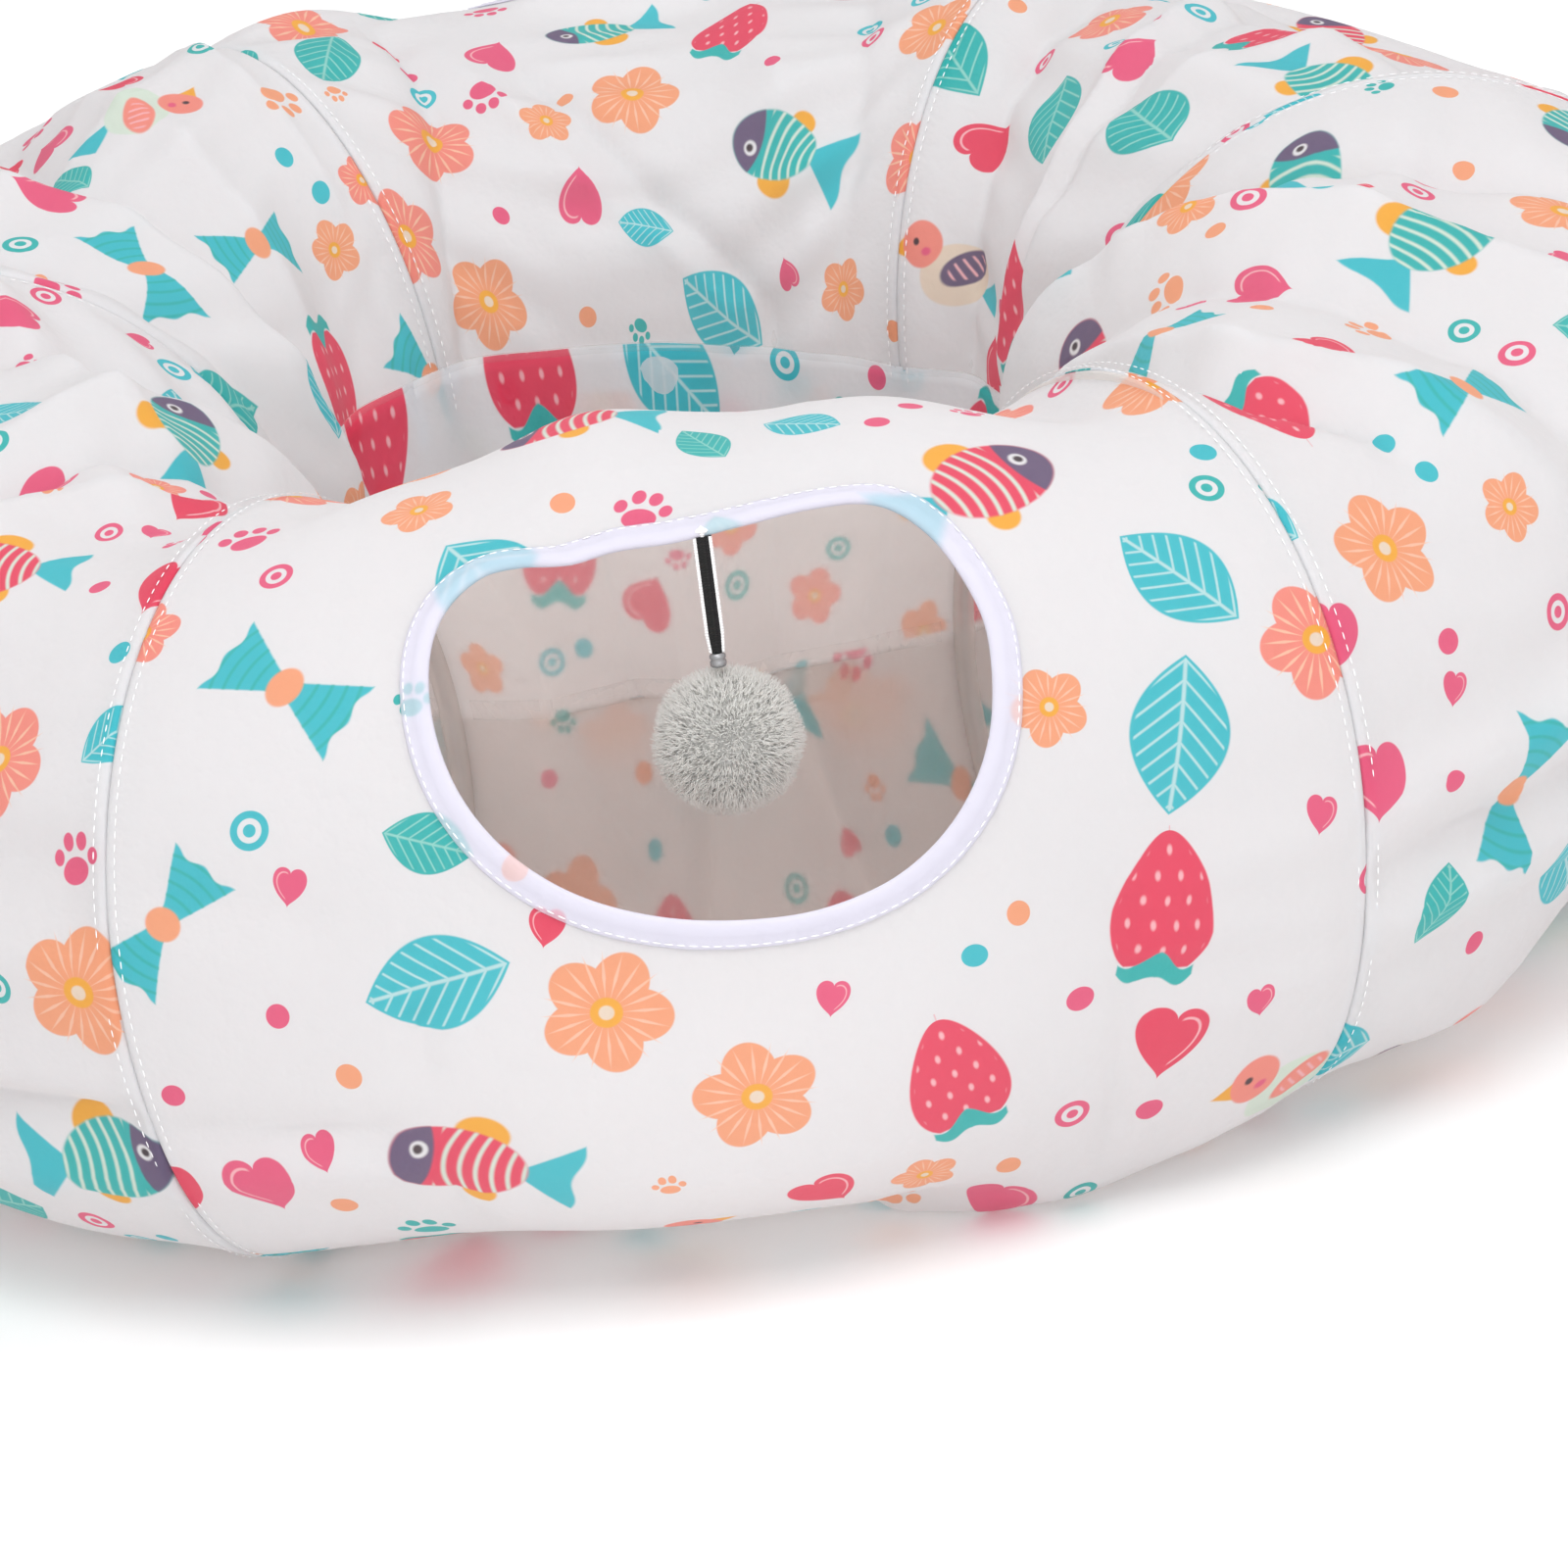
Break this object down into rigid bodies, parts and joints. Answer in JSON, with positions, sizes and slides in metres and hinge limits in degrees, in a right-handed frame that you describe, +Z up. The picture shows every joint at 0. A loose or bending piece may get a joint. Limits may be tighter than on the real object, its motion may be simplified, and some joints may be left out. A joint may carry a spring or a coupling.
{
  "type": "cat tunnel",
  "caption": "Ring-shaped soft cat tunnel of printed fabric on spring-steel hoops, with bound openings, a central mat and a hanging pompom toy.",
  "frame": {"origin": "centre of the ring on the floor", "axes": "+Z up, front opening with the toy towards -Y, +X to the right seen from the front"},
  "size_m": [0.8, 0.8022, 0.25],
  "materials": {
    "printed_fabric": "thin white polyester with a scattered print in teal, pink, peach and yellow",
    "white_tape": "white bias tape, slightly shiny",
    "base_cloth": "plain off-white non-woven cloth",
    "wadding": "polyester wadding",
    "hoop_steel": "round spring-steel wire",
    "elastic": "flat woven elastic, black with white edges",
    "crimp_metal": "small pressed clamp",
    "plush": "off-white plush fur"
  },
  "bodies": {
    "tunnel": {"panel_front_right": "printed_fabric", "panel_rear_right": "printed_fabric", "panel_rear": "printed_fabric", "panel_rear_left": "printed_fabric", "panel_front_left": "printed_fabric", "panel_front": "printed_fabric", "hoop_front_right": "hoop_steel", "hoop_right": "hoop_steel", "hoop_rear_right": "hoop_steel", "hoop_rear_left": "hoop_steel", "hoop_left": "hoop_steel", "hoop_front_left": "hoop_steel", "hoop_sleeve_front_right": "hoop_steel", "hoop_sleeve_right": "hoop_steel", "hoop_sleeve_rear_right": "hoop_steel", "hoop_sleeve_rear_left": "hoop_steel", "hoop_sleeve_left": "hoop_steel", "hoop_sleeve_front_left": "hoop_steel", "hoop_casing_front_right": "white_tape", "hoop_casing_right": "white_tape", "hoop_casing_rear_right": "white_tape", "hoop_casing_rear_left": "white_tape", "hoop_casing_left": "white_tape", "hoop_casing_front_left": "white_tape", "seam_tape_front_right": "white_tape", "seam_tape_rear_right": "white_tape", "seam_tape_rear": "white_tape", "seam_tape_rear_left": "white_tape", "seam_tape_front_left": "white_tape", "seam_tape_front": "white_tape", "front_opening_binding": "white_tape", "rear_opening_binding": "white_tape", "mat_top_sheet": "printed_fabric", "mat_pad": "wadding", "mat_base_sheet": "base_cloth", "mat_seam_binding": "white_tape"},
    "toy_anchor": {"toy_anchor_knot": "elastic"},
    "toy_cord": {"toy_elastic": "elastic"},
    "toy_ball": {"toy_crimp": "crimp_metal", "toy_pompom": "plush"}
  },
  "joints": [
    {"name": "toy_swing_fore_aft", "type": "hinge", "parent": "tunnel", "child": "toy_anchor", "pos_m": [0, -0.3175, 0.2362], "axis": [1, 0, 0], "range_deg": [-25, 50]},
    {"name": "toy_swing_sideways", "type": "hinge", "parent": "toy_anchor", "child": "toy_cord", "pos_m": [0, -0.3175, 0.2362], "axis": [0, 1, 0], "range_deg": [-45, 45]},
    {"name": "elastic_stretch", "type": "slide", "parent": "toy_cord", "child": "toy_ball", "axis": [0, 0, -1], "range_m": [0, 0.04], "stiffness_N_per_m": 100, "springref_m": -0.003, "deforming": ["toy_elastic"]}
  ]
}
